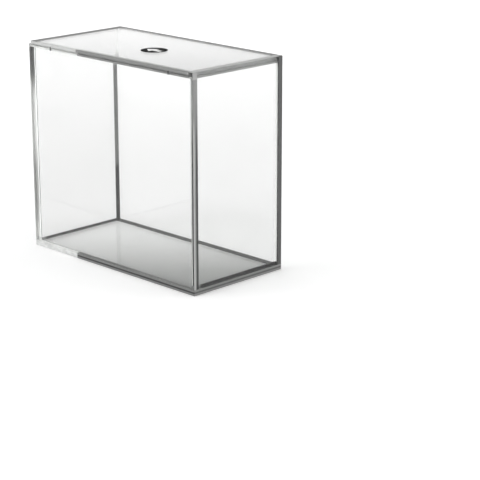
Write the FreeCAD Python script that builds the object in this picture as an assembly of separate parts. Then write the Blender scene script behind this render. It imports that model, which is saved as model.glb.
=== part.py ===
import FreeCAD, Part
import os

os.makedirs("parts", exist_ok=True)

# Outside size of the closed case, with the lid on.
case_length = 205.0
case_width = 103.0
case_height = 185.0

# Thickness of the sheet for the base and walls.
wall_sheet = 5.0

# The lid's top plate, as wide as the case, and how far its lower layer stands out past it at the exit end.
lid_plate = 2.5
plate_setback = 2.6

# The tongue under the plate, the groove it runs in, and the lip of wall left above the groove.
tongue_thickness = 1.5
groove_depth = 2.4
groove_headroom = 0.2
rim_lip = 1.3
slide_clearance = 0.25

# Flat taken off the sharp outer edges after they are polished.
arris = 0.4

# Magnet pins in the wall tops, the shorter ones above them in the lid, and their glue gap.
magnet_diameter = 1.6
wall_magnet_length = 3.0
lid_magnet_length = 1.8
magnet_glue_gap = 0.05
magnet_end_share = 0.14

# How far a cut runs out past the sheet it cuts.
overrun = 1.0

half_length = case_length / 2
half_width = case_width / 2
plate_under = case_height - lid_plate
wall_top = plate_under - groove_headroom
groove_roof = wall_top - rim_lip
tongue_top = groove_roof - groove_headroom
groove_floor = tongue_top - tongue_thickness
inner_x = half_length - wall_sheet
inner_y = half_width - wall_sheet
magnet_x = half_length - case_length * magnet_end_share
magnet_y = half_width - (wall_sheet - groove_depth) / 2


def block(low, high):
    """A box between two opposite corners."""
    size = [b - a for a, b in zip(low, high)]
    return Part.makeBox(*size, FreeCAD.Vector(*low))


def upright_pin(x, y, z, diameter, length):
    """A round pin that stands on the point given."""
    return Part.makeCylinder(diameter / 2, length, FreeCAD.Vector(x, y, z))


def lies_on(edge, **planes):
    """True where both ends of an edge have the coordinates given."""
    for axis, value in planes.items():
        for vertex in edge.Vertexes:
            if abs(getattr(vertex.Point, axis) - value) > arris / 4:
                return False
    return True


def break_edges(shape, *places):
    """Takes the arris off every edge that lies on one of the places."""
    edges = [e for e in shape.Edges if any(lies_on(e, **p) for p in places)]
    return shape.makeChamfer(arris, edges)


def magnet_places():
    """The pins' centres: two on each long side, at equal distances from the ends."""
    return [(sx * magnet_x, sy * magnet_y) for sy in (-1, 1) for sx in (-1, 1)]


def base_panel():
    """The plate that all four walls stand on."""
    plate = block((-half_length, -half_width, 0), (half_length, half_width, wall_sheet))
    corners = [dict(x=sx * half_length, y=sy * half_width) for sx in (-1, 1) for sy in (-1, 1)]
    feet = [dict(x=s * half_length, z=0) for s in (-1, 1)] + [dict(y=s * half_width, z=0) for s in (-1, 1)]
    return break_edges(plate, *corners, *feet)


def long_panel(side):
    """A long wall, cut down to carry the lid's plate, with the stopped groove inside and holes for two pins."""
    outer = side * half_width
    inner = side * inner_y
    low_y, high_y = sorted((outer, inner))
    wall = block((-half_length, low_y, wall_sheet), (half_length, high_y, case_height))
    wall = break_edges(
        wall,
        dict(x=-half_length, y=outer),
        dict(x=half_length, y=outer),
        dict(y=outer, z=case_height),
        dict(x=half_length, z=case_height),
    )
    seat = block(
        (-half_length - overrun, low_y - overrun, wall_top),
        (inner_x, high_y + overrun, case_height + overrun),
    )
    wall = wall.cut(seat)
    cut_low, cut_high = sorted((inner - side * overrun, inner + side * groove_depth))
    groove = block(
        (-half_length - overrun, cut_low, groove_floor),
        (inner_x + groove_depth, cut_high, groove_roof),
    )
    wall = wall.cut(groove)
    hole_diameter = magnet_diameter + 2 * magnet_glue_gap
    for x, y in magnet_places():
        if y * side > 0:
            hole = upright_pin(x, y, wall_top - wall_magnet_length, hole_diameter, wall_magnet_length + overrun)
            wall = wall.cut(hole)
    return wall


def exit_end_panel():
    """The low end wall: its top is level with the groove's floor, so the lid passes over it."""
    wall = block((-half_length, -inner_y, wall_sheet), (-inner_x, inner_y, groove_floor))
    return break_edges(wall, dict(x=-half_length, z=groove_floor))


def stop_end_panel():
    """The high end wall, grooved inside for the lid's end tongue."""
    wall = block((inner_x, -inner_y, wall_sheet), (half_length, inner_y, case_height))
    wall = break_edges(wall, dict(x=half_length, z=case_height))
    groove = block(
        (inner_x - overrun, -inner_y - overrun, groove_floor),
        (inner_x + groove_depth, inner_y + overrun, groove_roof),
    )
    return wall.cut(groove)


def sliding_lid():
    """The lid: a plate over the long walls, a middle between them, and a thin tongue that runs in the groove."""
    middle_x = inner_x - slide_clearance
    middle_y = inner_y - slide_clearance
    tongue_x = middle_x + groove_depth
    tongue_y = middle_y + groove_depth
    plate_x = plate_setback - half_length
    plate = block((plate_x, -half_width, plate_under), (middle_x, half_width, case_height))
    plate = break_edges(
        plate,
        dict(x=plate_x, z=case_height),
        dict(x=middle_x, z=case_height),
        dict(y=-half_width, z=case_height),
        dict(y=half_width, z=case_height),
    )
    middle = block((-half_length, -middle_y, groove_floor), (middle_x, middle_y, plate_under))
    tongue = block((-half_length, -tongue_y, groove_floor), (tongue_x, tongue_y, tongue_top))
    lid = plate.fuse([middle, tongue]).removeSplitter()
    hole_diameter = magnet_diameter + 2 * magnet_glue_gap
    for x, y in magnet_places():
        hole = upright_pin(x, y, plate_under - groove_headroom / 2, hole_diameter, lid_magnet_length + groove_headroom / 2)
        lid = lid.cut(hole)
    return lid


shapes = {
    "base_panel": base_panel(),
    "front_panel": long_panel(-1),
    "back_panel": long_panel(1),
    "exit_end_panel": exit_end_panel(),
    "stop_end_panel": stop_end_panel(),
    "sliding_lid": sliding_lid(),
}
for number, (x, y) in enumerate(magnet_places(), 1):
    shapes[f"wall_magnet_{number}"] = upright_pin(
        x, y, wall_top - wall_magnet_length, magnet_diameter, wall_magnet_length
    )
    shapes[f"lid_magnet_{number}"] = upright_pin(x, y, plate_under, magnet_diameter, lid_magnet_length)

for node, shape in shapes.items():
    shape.exportStep(f"parts/{node}.step")
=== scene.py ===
import math

import bpy
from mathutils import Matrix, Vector


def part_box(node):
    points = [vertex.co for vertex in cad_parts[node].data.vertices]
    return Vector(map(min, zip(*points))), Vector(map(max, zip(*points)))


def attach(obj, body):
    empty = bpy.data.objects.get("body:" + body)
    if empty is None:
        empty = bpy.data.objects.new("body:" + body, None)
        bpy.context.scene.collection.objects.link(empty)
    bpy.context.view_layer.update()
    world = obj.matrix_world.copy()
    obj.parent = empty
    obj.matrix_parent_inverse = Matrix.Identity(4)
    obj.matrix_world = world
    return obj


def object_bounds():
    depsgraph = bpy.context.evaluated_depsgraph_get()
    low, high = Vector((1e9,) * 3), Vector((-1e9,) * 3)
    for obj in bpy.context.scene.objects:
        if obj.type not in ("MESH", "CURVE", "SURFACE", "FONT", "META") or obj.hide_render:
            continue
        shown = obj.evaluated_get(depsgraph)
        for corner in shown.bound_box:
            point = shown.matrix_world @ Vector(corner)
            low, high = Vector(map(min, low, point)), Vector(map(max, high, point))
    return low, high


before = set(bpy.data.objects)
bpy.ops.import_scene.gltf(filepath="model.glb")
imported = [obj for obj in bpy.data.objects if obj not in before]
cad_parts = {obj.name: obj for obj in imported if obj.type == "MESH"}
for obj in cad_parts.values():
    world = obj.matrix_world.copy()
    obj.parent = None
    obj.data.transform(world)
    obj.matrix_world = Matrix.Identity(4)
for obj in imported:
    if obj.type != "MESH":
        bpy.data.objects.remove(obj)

cad_low, cad_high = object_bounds()


# Base plate: 5 mm clear cast acrylic sheet, saw cut to the full outline of the case and buffed.
# The four walls stand on it and are cemented, so its cut edges show all round below them,
# with the dark glue line above, a stripe of painted shade along their middle, and a stretch at the front of
# the exit end painted pale as painted light.
class Value:
    """A shader socket; sums on it add Math nodes, and make() adds any other node."""

    def __init__(self, tree, socket=None):
        self.tree = tree
        self.socket = socket

    def make(self, kind, settings=None, sockets=None, out=0):
        node = self.tree.nodes.new(kind)
        for key, setting in (settings or {}).items():
            if key == "stops":
                ramp = node.color_ramp.elements
                while len(ramp) < len(setting):
                    ramp.new(1.0)
                for stop, (place, colour) in zip(ramp, setting):
                    stop.position = place
                    stop.color = (*colour, 1.0)
            else:
                setattr(node, key, setting)
        for key, value in (sockets or {}).items():
            if isinstance(value, Value):
                self.tree.links.new(value.socket, node.inputs[key])
            else:
                node.inputs[key].default_value = value
        return Value(self.tree, node.outputs[out])

    def maths(self, operation, first, second):
        return self.make("ShaderNodeMath", {"operation": operation}, {0: first, 1: second})

    def __add__(self, other):
        return self.maths("ADD", self, other)

    __radd__ = __add__

    def __mul__(self, other):
        return self.maths("MULTIPLY", self, other)

    __rmul__ = __mul__

    def __sub__(self, other):
        return self.maths("SUBTRACT", self, other)

    def __rsub__(self, other):
        return self.maths("SUBTRACT", other, self)

    def __abs__(self):
        return self.maths("ABSOLUTE", self, 0.0)

    def __lt__(self, other):
        return self.maths("LESS_THAN", self, other)

    def either(self, other):
        """The larger of two values."""
        return self.maths("MAXIMUM", self, other)

    def towards(self, goal, share):
        """This value, moved to goal by share."""
        return self + (goal - self) * share

    def ease(self, start, end):
        """0 at start, 1 at end, smooth between; start may be the larger."""
        return self.make("ShaderNodeMapRange", {"interpolation_type": "SMOOTHSTEP"},
                         {"Value": self, "From Min": start, "From Max": end})

    def within(self, low, high, soft):
        """1 between low and high, 0 outside them, with ends that are soft to both sides."""
        return self.ease(low - soft, low + soft) * self.ease(high + soft, high - soft)

    def split(self):
        """The x, y and z of a vector."""
        node = self.tree.nodes.new("ShaderNodeSeparateXYZ")
        self.tree.links.new(self.socket, node.inputs[0])
        return [Value(self.tree, node.outputs[axis]) for axis in "XYZ"]

    def stretched(self, scale):
        return self.make("ShaderNodeVectorMath", {"operation": "MULTIPLY"}, {0: self, 1: scale})

    def noise(self, scale, detail=2.0, rough=0.5):
        return self.make("ShaderNodeTexNoise", None, {
            "Vector": self, "Scale": scale, "Detail": detail, "Roughness": rough})

    def tint(self, dark, pale):
        """Colour between dark and pale, with this value as the share of pale."""
        first_colour = 6
        second_colour = 7
        mixed_colour = 2
        return self.make("ShaderNodeMix", {"data_type": "RGBA"}, {
            "Factor": self, first_colour: (*dark, 1.0), second_colour: (*pale, 1.0)}, out=mixed_colour)

    def mix_shaders(self, shader, other):
        """Two shaders, with this value as the share of the other."""
        return self.make("ShaderNodeMixShader", None, {0: self, 1: shader, 2: other})


def blank_finish(name):
    finish = bpy.data.materials.new(name)
    finish.use_nodes = True
    finish.node_tree.nodes.clear()
    return finish, Value(finish.node_tree)


def close_finish(start, shader):
    output = start.tree.nodes.new("ShaderNodeOutputMaterial")
    start.tree.links.new(shader.socket, output.inputs["Surface"])


def dress(node, finish):
    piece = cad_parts[node]
    piece.data.materials.clear()
    piece.data.materials.append(finish)


mm = 1000.0


def in_millimetres(start):
    """The place on the piece, in millimetres from the case's origin."""
    return start.make("ShaderNodeTexCoord", out="Object").stretched((mm, mm, mm))


# The case in millimetres, from the frame.
half_length, half_width, lid_top = cad_high * mm
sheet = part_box("base_panel")[1].z * mm
inner_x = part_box("stop_end_panel")[0].x * mm
inner_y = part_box("back_panel")[0].y * mm
groove_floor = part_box("exit_end_panel")[1].z * mm
magnet_low, magnet_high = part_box("wall_magnet_4")
magnet_x = 0.5 * (magnet_low.x + magnet_high.x) * mm
wall_top = magnet_high.z * mm

# In the pairs below, a finish runs from none of it at the first place to all of it at the second.
front_zone = (-40.0, -44.0)
foot_run = (-44.3, -45.8)
flat_limit = 0.9
acrylic_ior = 1.49
sheet_clarity = 0.914
black = (0.0, 0.0, 0.0)
edge_white = (0.99, 1.0, 0.985)
mark_x = 0.0100
mark_y = -0.0074


def clear_face(start, spot, clarity):
    """Polished sheet with faint smudges, which mirrors little; to shadow rays it is a pale filter."""
    green_cast = 0.002
    smudge_loss = 0.014
    polish_roughness = 0.002
    smudge_roughness = 0.012
    mirror_share = 0.45
    shadow_colour = (0.90, 0.91, 0.90, 1.0)
    smudge = spot.noise(scale=0.022, detail=3.0, rough=0.6).ease(0.52, 0.74)
    wipe = spot.stretched((0.9, 0.9, 0.12)).noise(scale=0.35).ease(0.45, 0.8)
    clean = (clarity, clarity + green_cast, clarity)
    smudged = [part - smudge_loss for part in clean]
    polished = start.make("ShaderNodeBsdfPrincipled", None, {
        "Base Color": smudge.tint(clean, smudged),
        "Roughness": polish_roughness + smudge_roughness * smudge * wipe,
        "IOR": acrylic_ior,
        "Specular Tint": (mirror_share, mirror_share, mirror_share, 1.0),
        "Transmission Weight": 1.0,
    })
    filtered = start.make("ShaderNodeBsdfTransparent", None, {"Color": shadow_colour})
    shadow_ray = start.make("ShaderNodeLightPath", out="Is Shadow Ray")
    return shadow_ray.mix_shaders(polished, filtered)


def saw_drag(spot, between):
    """Fine lines from saw and buff: upright between rim and foot, and level on both."""
    along = 0.03
    across = 1.3
    level = spot.stretched((along, across, across)).noise(scale=1.0, detail=3.0)
    upright = spot.stretched((across, across, along)).noise(scale=1.0, detail=3.0)
    return level * (1.0 - between) + upright * between


def satin_edge(start, tone, drag):
    """A cut edge of that tone, which passes some light and is ribbed by the drag lines."""
    satin_roughness = 0.26
    drag_roughness = 0.2
    light_passed = 0.25
    rib_depth = 0.0002
    ribs = start.make("ShaderNodeBump", None, {"Strength": 0.15, "Distance": rib_depth, "Height": drag})
    return start.make("ShaderNodeBsdfPrincipled", None, {
        "Base Color": tone.tint(black, edge_white),
        "Roughness": satin_roughness + drag_roughness * drag,
        "IOR": acrylic_ior,
        "Transmission Weight": light_passed,
        "Normal": ribs,
    })


def acrylic_finish(name, sheet_axis, clarity=sheet_clarity):
    """Clear faces square to sheet_axis, and satin saw-cut edges on every other face."""
    finish, start = blank_finish(name)
    spot = in_millimetres(start)
    x, y, z = spot.split()
    normal = start.make("ShaderNodeNewGeometry", out="True Normal").split()
    at_end = abs(x).ease(half_length - 0.4, half_length - 0.2)
    at_side = abs(y).ease(half_width - 0.4, half_width - 0.2)
    front = y.ease(*front_zone)
    rim = z.ease(groove_floor - 0.7, groove_floor - 0.3)
    foot = z.ease(sheet + 0.06, sheet + 0.02)
    between = (1.0 - rim) * (1.0 - foot)

    # Drilled holes and glued faces stay clear.
    sharp = 0.1
    drill_square = (1.5, 1.2)
    behind_groove = (inner_y + 2.4, inner_y + 2.6)
    from_drill = abs(x) - magnet_x
    drilled = (from_drill * from_drill).ease(*drill_square) * abs(y).ease(*behind_groove)
    drilled = drilled * z.within(groove_floor - 0.3, wall_top + 0.1, sharp)
    glued = (1.0 - at_end) * (1.0 - at_side) * z.within(sheet + 0.1, groove_floor - 0.5, sharp)
    cut = (abs(normal["XYZ".index(sheet_axis)]) < flat_limit) * (1.0 - drilled) * (1.0 - glued)

    # The lid's top has a frosted border on two sides, and is left out where the ink lies in it.
    back_border = (47.0, 47.4)
    exit_border = (-91.2, -91.7)
    frosted = (y.ease(*back_border) + x.ease(*exit_border)).ease(0.0, 1.0)
    border = z.ease(lid_top - 0.4, lid_top - 0.1) * frosted
    cut = cut.either(border * x.ease(inner_x - 0.1, inner_x - 0.2))
    mark_square = (136.0, 134.0)
    from_mark_x = x - mark_x * mm
    from_mark_y = y - mark_y * mm
    printed = (from_mark_x * from_mark_x + from_mark_y * from_mark_y).ease(*mark_square)
    printed = printed * z.ease(lid_top - 0.2, lid_top - 0.1)
    gap = start.make("ShaderNodeBsdfTransparent", None, {"Color": (1.0, 1.0, 1.0, 1.0)})
    clear = printed.mix_shaders(clear_face(start, spot, clarity), gap)

    # Cut edges are grey, with painted shade where they face front or back and painted light on the rim of
    # the stop end.
    satin_tone = 0.36
    facing_shade = 0.11
    stop_rim_painted_light = 0.22
    tone = satin_tone - facing_shade * abs(normal[1]).ease(0.5, 0.8)
    tone = tone + stop_rim_painted_light * x.ease(inner_x - 1.2, inner_x - 0.7) * rim

    # A dark stripe of painted shade runs round the middle of the foot, and the back wall's ends are painted
    # dark as shade.
    stripe_shade = 0.22
    stripe_low = 1.9
    stripe_high = 3.4
    stripe_soft = 0.25
    back_end_shade_tone = 0.10
    tone = tone - stripe_shade * (foot * z.within(stripe_low, stripe_high, stripe_soft))
    tone = tone.towards(back_end_shade_tone, at_end * (1.0 - foot) * y.ease(inner_y - 0.5, inner_y - 0.1))

    # The front wall's ends have painted shade on the inner half, with a painted highlight streak on the
    # outer half.
    inner_shade = 0.32
    inner_half = (-48.9, -48.5)
    inner_heights = (175.0, 110.0)
    streak_highlight = 0.42
    streak_outer = -51.1
    streak_inner = -50.0
    streak_soft = 0.2
    streak_heights = (152.0, 134.0)
    wall_end = at_end * between
    tone = tone - inner_shade * (wall_end * front * y.ease(*inner_half) * z.ease(*inner_heights))
    highlight_streak = y.within(streak_outer, streak_inner, streak_soft) * z.ease(*streak_heights)
    tone = tone + streak_highlight * (wall_end * highlight_streak)

    # The border is darker, and the drag lines vary all of these.
    border_shade = 0.12
    drag_low = 0.76
    drag_gain = 0.48
    drag = saw_drag(spot, between)
    tone = (tone - border_shade * border) * (drag_low + drag_gain * drag)

    # Rim and foot are painted pale at the front of the exit end, as painted light, the lid's plate a little
    # less.
    rim_run = (-38.9, -40.4)
    plate_shade = 0.32
    patch_shade = 0.2
    patch_scale = (0.16, 0.3, 0.3)
    rim_painted_light = x.ease(*rim_run) * front * rim * (1.0 - border)
    tone = tone.towards(1.0 - plate_shade * z.ease(wall_top - 0.1, wall_top + 0.3), rim_painted_light)
    patch = spot.stretched(patch_scale).noise(scale=1.0).ease(0.35, 0.65)
    tone = tone.towards(1.0 - patch_shade * patch, x.ease(*foot_run) * front * foot)

    # The upright corner there is painted pale too, as painted light, from below its top, with a greyer
    # stretch lower down.
    corner_light_tone = 0.95
    corner_heights = (166.0, 140.0)
    grey_share = 0.5
    grey_low = 25.0
    grey_high = 85.0
    grey_soft = 20.0
    corner = x.ease(0.5 - inner_x, 0.1 - inner_x) * front * between * z.ease(*corner_heights)
    corner = corner * (1.0 - grey_share * z.within(grey_low, grey_high, grey_soft))
    tone = tone.towards(corner_light_tone, corner)
    close_finish(start, cut.mix_shaders(clear, satin_edge(start, tone, drag)))
    return finish


dress("base_panel", acrylic_finish("base_acrylic", "Z"))

# Long walls, front and back: the same sheet, full length, cemented upright on the base.
# A groove for the lid is milled inside along the top, left open at the exit end.
for node in ("front_panel", "back_panel"):
    dress(node, acrylic_finish(node + "_acrylic", "Y"))

# End walls: cut to fit between the long walls and cemented on three sides. The exit end is lower,
# so that the lid slides out over it; the stop end is full height and grooved.
end_clarity = {"exit_end_panel": 0.868, "stop_end_panel": sheet_clarity}
for node, clarity in end_clarity.items():
    dress(node, acrylic_finish(node + "_acrylic", "X", clarity))

# Cement joints: solvent cement fills each joint as a thin film and is squeezed out along the inside
# as a small hollow fillet. It sets cloudy and darker than the sheet, with fine bubbles, so it outlines
# the inside of the case; at the front of the exit end and beside some uprights it is painted pale, as
# painted light seen through the joint.
def cement_finish():
    """Cloudy grey cement, with stretches painted as pale as the wall behind them, as painted light, and a
    painted glow.
    """
    finish, start = blank_finish("set_cement")
    spot = in_millimetres(start)
    x, y, z = spot.split()
    floor_bead_top = (7.4, 7.9)
    back_zone = (40.0, 42.0)
    exit_half = (-50.0, -51.0)
    stop_half = (50.0, 51.0)
    upright = z.ease(*floor_bead_top)
    front = y.ease(*front_zone)
    back = y.ease(*back_zone) * upright
    exit_side = x.ease(*exit_half)
    stop_side = x.ease(*stop_half)

    # Painted light on the film at the front of the exit end: the upright, with a greyer stretch, and along
    # the foot.
    exit_heights = (160.0, 132.0)
    grey_share = 0.45
    grey_low = 25.0
    grey_high = 80.0
    grey_soft = 20.0
    exit_painted_light = front * upright * x.ease(0.2 - inner_x, 0.05 - inner_x) * z.ease(*exit_heights)
    exit_painted_light = exit_painted_light * (1.0 - grey_share * z.within(grey_low, grey_high, grey_soft))
    run_painted_light = front * (1.0 - upright) * x.ease(*foot_run) * y.ease(0.1 - inner_y, -0.1 - inner_y)

    # Painted light and glow on the film beside the other uprights, and at the top of the one at the back of
    # the exit end.
    stop_back_film = (100.8, 100.3)
    exit_back_heights = (149.0, 163.0)
    bead_side = inner_x - 0.05
    bead_soft = 0.05
    front_inside = x.ease(-1.0 - inner_x, -0.6 - inner_x) * x.ease(inner_x + 0.6, inner_x + 0.3)
    front_inside = front * upright * front_inside * (1.0 - x.within(-bead_side, bead_side, bead_soft))
    back_inside = back * (stop_side * x.ease(*stop_back_film) + exit_side * z.ease(*exit_back_heights))
    glassy = front_inside + back_inside
    # Where the film is painted pale, as painted light.
    clean = exit_painted_light.either(glassy) + run_painted_light

    # The cloudy rest is near black, with painted light along the floor and on three uprights.
    cement_tone = 0.02
    cloud_lift = 0.05
    bubble_lift = 0.05
    floor_painted_light = 0.04
    front_floor_painted_light = 0.1
    front_bead_painted_light = 0.12
    exit_back_painted_light = 0.17
    exit_back_painted_light_heights = (54.0, 62.0)
    exit_front_painted_light = 0.14
    stop_front_painted_light = 0.26
    stop_front_painted_light_heights = (110.0, 165.0)
    cloud = spot.noise(scale=0.35, detail=3.0, rough=0.6)
    bubble = start.make("ShaderNodeTexVoronoi", None, {"Vector": spot, "Scale": 1.1}).ease(0.22, 0.12)
    tone = cement_tone + cloud_lift * cloud + bubble_lift * bubble
    front_bead = front * y.ease(-0.1 - inner_y, 0.1 - inner_y)
    on_floor = floor_painted_light + front_floor_painted_light * front + front_bead_painted_light * front_bead
    tone = tone + on_floor * (1.0 - upright)
    tone = tone + exit_back_painted_light * (back * exit_side * z.ease(*exit_back_painted_light_heights))
    tone = tone + exit_front_painted_light * (front * upright * exit_side)
    tone = tone + stop_front_painted_light * (front * upright * stop_side * z.ease(*stop_front_painted_light_heights))

    # The pale film is painted light, and glows a little: a painted glow standing in for light from the wall
    # behind.
    painted_light_tone = 0.93
    painted_film_glow = 0.2
    exit_glow = 0.26
    white = (1.0, 1.0, 1.0)
    tone = tone.towards(painted_light_tone, clean)
    glow = glassy * (painted_film_glow + exit_glow * exit_side)

    cement_roughness = 0.3
    cloud_roughness = 0.2
    lump_depth = 0.0001
    lumps = start.make("ShaderNodeBump", None, {"Strength": 0.2, "Distance": lump_depth, "Height": cloud})
    cement = start.make("ShaderNodeBsdfPrincipled", None, {
        "Base Color": tone.tint(black, edge_white),
        "Roughness": cement_roughness + cloud_roughness * cloud,
        "IOR": acrylic_ior,
        "Specular IOR Level": 0.15,
        "Emission Color": glow.tint(black, white),
        "Emission Strength": 1.0,
        "Normal": lumps,
    })
    close_finish(start, cement)
    return finish


set_cement = cement_finish()
film = 0.00003
hollow_percent = 97.0
hollow_profile = 0.2
hollow_steps = 6
tip_share = 0.1
touching = 1e-6
smooth_angle = math.radians(40.0)
exit_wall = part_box("exit_end_panel")[1]
inside_low = Vector((exit_wall.x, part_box("front_panel")[1].y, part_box("base_panel")[1].z))
inside_high = Vector((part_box("stop_end_panel")[0].x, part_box("back_panel")[0].y, exit_wall.z))


def cement_bar(low, high):
    """A straight bar between two corners."""
    bpy.ops.object.select_all(action="DESELECT")
    low = Vector(low)
    high = Vector(high)
    bpy.ops.mesh.primitive_cube_add(size=1.0, location=(low + high) / 2)
    bar = bpy.context.object
    bar.scale = high - low
    bpy.ops.object.transform_apply(location=True, rotation=False, scale=True)
    return bar


def choose(piece, kind, wanted):
    """Enters edit mode with only the edges or faces selected that wanted() is true for."""
    bpy.ops.object.mode_set(mode="EDIT")
    bpy.ops.mesh.select_mode(type=kind)
    bpy.ops.mesh.select_all(action="DESELECT")
    bpy.ops.object.mode_set(mode="OBJECT")
    for item in piece.data.edges if kind == "EDGE" else piece.data.polygons:
        item.select = wanted(item)
    bpy.ops.object.mode_set(mode="EDIT")


def faces_up(face):
    return face.normal.z > flat_limit


def cement_joint(name, film_low, film_high, bead_low, bead_high, room, tip=0.0):
    """The film between two glued faces, and a bead, hollowed on the room side, that may run out in a tip."""
    layer = cement_bar(film_low, film_high)
    bead = cement_bar(bead_low, bead_high)
    bead.name = name
    run = max(range(3), key=lambda axis: bead_high[axis] - bead_low[axis])
    corner = [bead_high[axis] if room[axis] > 0 else bead_low[axis] for axis in range(3)]
    root = [bead_low[axis] + bead_high[axis] - corner[axis] for axis in range(3)]

    def on_corner(edge):
        ends = [bead.data.vertices[i].co for i in edge.vertices]
        across = [axis for axis in range(3) if axis != run]
        return all(abs(end[axis] - corner[axis]) < touching for end in ends for axis in across)

    choose(bead, "EDGE", on_corner)
    bpy.ops.mesh.bevel(offset=hollow_percent, offset_type="PERCENT", segments=hollow_steps,
                       profile=hollow_profile, affect="EDGES")
    bpy.ops.object.mode_set(mode="OBJECT")
    if tip:
        choose(bead, "FACE", faces_up)
        bpy.ops.mesh.extrude_region_move(TRANSFORM_OT_translate={"value": (0.0, 0.0, tip)})
        bpy.ops.transform.resize(value=(tip_share, tip_share, 1.0), center_override=root)
        bpy.ops.object.mode_set(mode="OBJECT")
    layer.select_set(True)
    bead.select_set(True)
    bpy.context.view_layer.objects.active = bead
    bpy.ops.object.join()
    bpy.ops.object.shade_smooth_by_angle(angle=smooth_angle)
    bead.data.materials.append(set_cement)
    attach(bead, "case")


def reach(face, side, leg):
    """From just inside the wall at face to leg away from it, on the room's side."""
    return sorted((face + side * film, face - side * leg))


# The upright joints: the bead's two legs, its top, and how far it runs out above that.
upright_legs = {"exit_front": (0.0004, 0.0004), "exit_back": (0.0005, 0.0042),
                "stop_front": (0.0004, 0.0004), "stop_back": (0.0003, 0.0003)}
upright_tops = {"exit_front": 0.1790, "exit_back": 0.1552, "stop_front": 0.1790, "stop_back": 0.1790}
upright_tips = {"exit_front": 0.0, "exit_back": 0.012, "stop_front": 0.0, "stop_back": 0.0}
for x_side, end in ((-1, "exit"), (1, "stop")):
    x_wall = inside_low.x if x_side < 0 else inside_high.x
    x_out = cad_low.x if x_side < 0 else cad_high.x
    x_film = sorted((x_out, x_wall))
    for y_side, long_side in ((-1, "front"), (1, "back")):
        y_wall = inside_low.y if y_side < 0 else inside_high.y
        place = end + "_" + long_side
        x_bead = reach(x_wall, x_side, upright_legs[place][0])
        y_bead = reach(y_wall, y_side, upright_legs[place][1])
        cement_joint("cement_upright_" + place,
                     (x_film[0], y_wall - film, inside_low.z), (x_film[1], y_wall + film, inside_high.z),
                     (x_bead[0], y_bead[0], inside_low.z - film),
                     (x_bead[1], y_bead[1], upright_tops[place]),
                     (-x_side, -y_side, 0), upright_tips[place])

# The joints along the floor: the bead's leg on the floor, and its leg up the wall.
bead_stop = 0.0004
floor_z = (inside_low.z - film, inside_low.z + film)
end_legs = (0.0012, 0.0022)
for side, end in ((-1, "exit"), (1, "stop")):
    wall = inside_low.x if side < 0 else inside_high.x
    across = sorted((wall, cad_low.x if side < 0 else cad_high.x))
    bead = reach(wall, side, end_legs[0])
    cement_joint("cement_floor_" + end,
                 (across[0], inside_low.y, floor_z[0]), (across[1], inside_high.y, floor_z[1]),
                 (bead[0], inside_low.y + bead_stop, floor_z[0]),
                 (bead[1], inside_high.y - bead_stop, inside_low.z + end_legs[1]), (-side, 0, 1))

long_legs = {"front": (0.0006, 0.0004), "back": (0.0044, 0.0006)}
for side, long_side in ((-1, "front"), (1, "back")):
    wall = inside_low.y if side < 0 else inside_high.y
    across = sorted((wall, cad_low.y if side < 0 else cad_high.y))
    bead = reach(wall, side, long_legs[long_side][0])
    cement_joint("cement_floor_" + long_side,
                 (cad_low.x, across[0], floor_z[0]), (cad_high.x, across[1], floor_z[1]),
                 (inside_low.x + bead_stop, bead[0], floor_z[0]),
                 (inside_high.x - bead_stop, bead[1], inside_low.z + long_legs[long_side][1]), (0, -side, 1))

# Sliding lid: clear acrylic milled in steps: a plate over the long walls, a middle between them and
# a tongue along both sides and one end. It is loose and runs in the wall grooves.
lid_clarity = 0.942
dress("sliding_lid", acrylic_finish("lid_acrylic", "Z", lid_clarity))

# Lid mark: a plain round of matt black ink with a white arrow towards the exit end, printed near
# the middle of the lid and level with its top face.
ink_depth = 0.00002
mark_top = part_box("sliding_lid")[1].z - ink_depth
mark_radius = 0.0115
mark_sides = 64
mark_rings = (0.0011, 0.0009)
worn_black = (0.02, 0.02, 0.02)
full_black = (0.008, 0.008, 0.008)
worn_white = (0.80, 0.80, 0.79)
full_white = (0.88, 0.88, 0.87)
ink_roughness = 0.6
grain_roughness = 0.2


def ink_finish(name, worn, full):
    finish, start = blank_finish(name)
    grain = in_millimetres(start).noise(scale=2.2, detail=3.0, rough=0.6)
    ink = start.make("ShaderNodeBsdfPrincipled", None, {
        "Base Color": grain.ease(0.3, 0.6).tint(worn, full),
        "Roughness": ink_roughness + grain_roughness * grain,
        "Specular IOR Level": 0.1,
    })
    close_finish(start, ink)
    return finish


bpy.ops.object.select_all(action="DESELECT")
bpy.ops.mesh.primitive_cylinder_add(vertices=mark_sides, radius=mark_radius, depth=ink_depth,
                                    location=(mark_x, mark_y, mark_top - 0.5 * ink_depth))
mark = bpy.context.object
mark.name = "lid_mark_round"
bpy.ops.object.transform_apply(location=True)
choose(mark, "FACE", faces_up)
for ring in mark_rings:
    bpy.ops.mesh.inset(thickness=ring)
bpy.ops.object.mode_set(mode="OBJECT")
mark.data.materials.append(ink_finish("black_ink", worn_black, full_black))
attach(mark, "lid")

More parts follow.
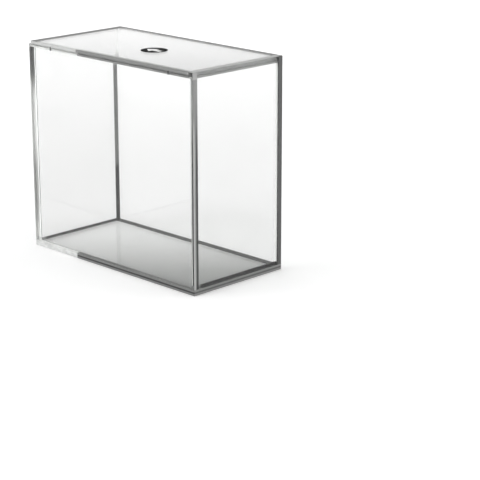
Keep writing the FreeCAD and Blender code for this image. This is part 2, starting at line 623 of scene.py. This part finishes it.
shaft_length = 0.0080
shaft_width = 0.0046
head_width = 0.0128
head_length = 0.0080
barb_step = 0.0004
point_share = 0.06
arrow_line = (mark_x, mark_y, mark_top)
bpy.ops.object.select_all(action="DESELECT")
shaft_centre = (mark_x + 0.5 * head_length, mark_y, mark_top + 0.25 * ink_depth)
bpy.ops.mesh.primitive_cube_add(size=1.0, location=shaft_centre)
arrow = bpy.context.object
arrow.name = "lid_mark_arrow"
arrow.scale = (shaft_length, shaft_width, 0.5 * ink_depth)
bpy.ops.object.transform_apply(location=True, scale=True)
choose(arrow, "FACE", lambda face: face.normal.x < -flat_limit)
bpy.ops.mesh.extrude_region_move(TRANSFORM_OT_translate={"value": (-barb_step, 0.0, 0.0)})
bpy.ops.transform.resize(value=(1.0, head_width / shaft_width, 1.0), center_override=arrow_line)
bpy.ops.mesh.extrude_region_move(TRANSFORM_OT_translate={"value": (-head_length, 0.0, 0.0)})
bpy.ops.transform.resize(value=(1.0, point_share, 1.0), center_override=arrow_line)
bpy.ops.object.mode_set(mode="OBJECT")
arrow.data.materials.append(ink_finish("white_ink", worn_white, full_white))
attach(arrow, "lid")

# Magnets: small nickel-plated pins glued into drilled holes, four in the tops of the long walls and
# four right above them in the lid. They hold the lid shut.
nickel_dark = (0.10, 0.10, 0.105)
nickel_pale = (0.30, 0.30, 0.31)
nickel_roughness = 0.25
scuff_roughness = 0.25
finish, start = blank_finish("nickel_plate")
scuff = in_millimetres(start).noise(scale=3.0, detail=3.0, rough=0.6)
nickel = start.make("ShaderNodeBsdfPrincipled", None, {
    "Base Color": scuff.tint(nickel_dark, nickel_pale),
    "Metallic": 1.0,
    "Roughness": nickel_roughness + scuff_roughness * scuff,
})
close_finish(start, nickel)
for row in ("wall_magnet", "lid_magnet"):
    for number in (1, 2, 3, 4):
        dress(f"{row}_{number}", finish)

# Studio floor: a wide sheet of white paper. What the camera, glass and metal see of it is filled up
# to white, less near the case; the lamps' light and shadow on it are real, and under the case it has a
# painted glow at the back and painted shade towards the camera.
floor_size = 30.0
floor_drop = 0.0002
paper_white = (0.86, 0.86, 0.86)
paper_glow = 0.225
around_glow = 0.25
around_reach = (0.1, 1.1)
far_glow = 0.4
far_reach = (2.0, 7.0)
under_soft = 0.002
under_painted_glow = 0.48
near_painted_shade = 0.74
near_painted_dim = 0.25
near_way = (0.70, -0.72)
near_reach = 0.11
bpy.ops.object.select_all(action="DESELECT")
bpy.ops.mesh.primitive_plane_add(size=floor_size, location=(0.0, 0.0, -floor_drop))
floor = bpy.context.object
floor.name = "studio_floor"
finish, start = blank_finish("white_paper")
spot = start.make("ShaderNodeTexCoord", out="Object")
x, y = spot.split()[:2]
seen = start.make("ShaderNodeLightPath", out="Is Camera Ray")
for ray in ("Is Glossy Ray", "Is Transmission Ray"):
    seen = seen.either(start.make("ShaderNodeLightPath", out=ray))
away = start.make("ShaderNodeVectorMath", {"operation": "LENGTH"}, {0: spot}, out="Value")
under = abs(x).ease(cad_high.x, cad_high.x - under_soft) * abs(y).ease(cad_high.y, cad_high.y - under_soft)
near_side = (near_way[0] * x + near_way[1] * y).ease(-near_reach, near_reach)
glow = paper_glow + around_glow * away.ease(*around_reach) + far_glow * away.ease(*far_reach)
# Painted glow under the back of the case and painted shade under its front.
glow = glow + under * (under_painted_glow - near_painted_shade * near_side)
# Painted shade: the paper's own colour is darker under the front of the case.
paper = start.make("ShaderNodeBsdfDiffuse", None, {
    "Color": (1.0 - near_painted_dim * under * near_side).tint(black, paper_white)})
fill = start.make("ShaderNodeEmission", None, {"Color": seen * glow})
lit = start.make("ShaderNodeAddShader", None, {0: paper, 1: fill})
close_finish(start, lit)
floor.data.materials.append(finish)

# Studio light: a pale surround that falls off above the horizon, a wide softbox overhead, and two
# smaller ones behind on the right and before the case on the left.
surround = ((0.0, 1.0), (0.170, 1.0), (0.180, 0.82), (0.198, 0.42), (0.30, 0.26), (1.0, 0.30))
world = bpy.data.worlds.new("studio")
bpy.context.scene.world = world
world.use_nodes = True
height = Value(world.node_tree).make("ShaderNodeTexCoord", out="Generated").split()[2]
stops = [(place, (grey, grey, grey)) for place, grey in surround]
sky = height.make("ShaderNodeValToRGB", {"stops": stops}, {0: height})
world.node_tree.links.new(sky.socket, world.node_tree.nodes["Background"].inputs["Color"])


def softbox(name, place, aim, width, height, power):
    bpy.ops.object.light_add(type="AREA", location=place)
    lamp = bpy.context.object
    lamp.name = name
    lamp.data.shape = "RECTANGLE"
    lamp.data.size = width
    lamp.data.size_y = height
    lamp.data.energy = power
    lamp.rotation_euler = (Vector(aim) - Vector(place)).to_track_quat("-Z", "Y").to_euler()


softbox("overhead_softbox", place=(-0.3, 0.2, 4.0), aim=(0.0, 0.0, 0.0), width=5.0, height=5.0, power=98.0)
softbox("side_softbox", place=(1.2, 1.2, 0.7), aim=(0.0, 0.0, 0.1), width=1.0, height=1.4, power=8.0)
softbox("front_softbox", place=(-0.7, -1.7, 1.0), aim=(0.0, 0.0, 0.08), width=1.2, height=1.2, power=20.0)

# Camera: where the photograph was taken from, by the corners of the case. It looks down a little
# on the front and the stop end, through a long lens.
camera_place = (1.0453, -0.9491, 0.4430)
look_down = 16.88
turn = 44.77
film_width = 36.0
focal_length = 126.53
bpy.ops.object.camera_add(location=camera_place,
                          rotation=(math.radians(90.0 - look_down), 0.0, math.radians(turn)))
camera = bpy.context.object
camera.data.sensor_width = film_width
camera.data.lens = focal_length
bpy.context.scene.camera = camera
bpy.context.scene.view_settings.view_transform = "Standard"
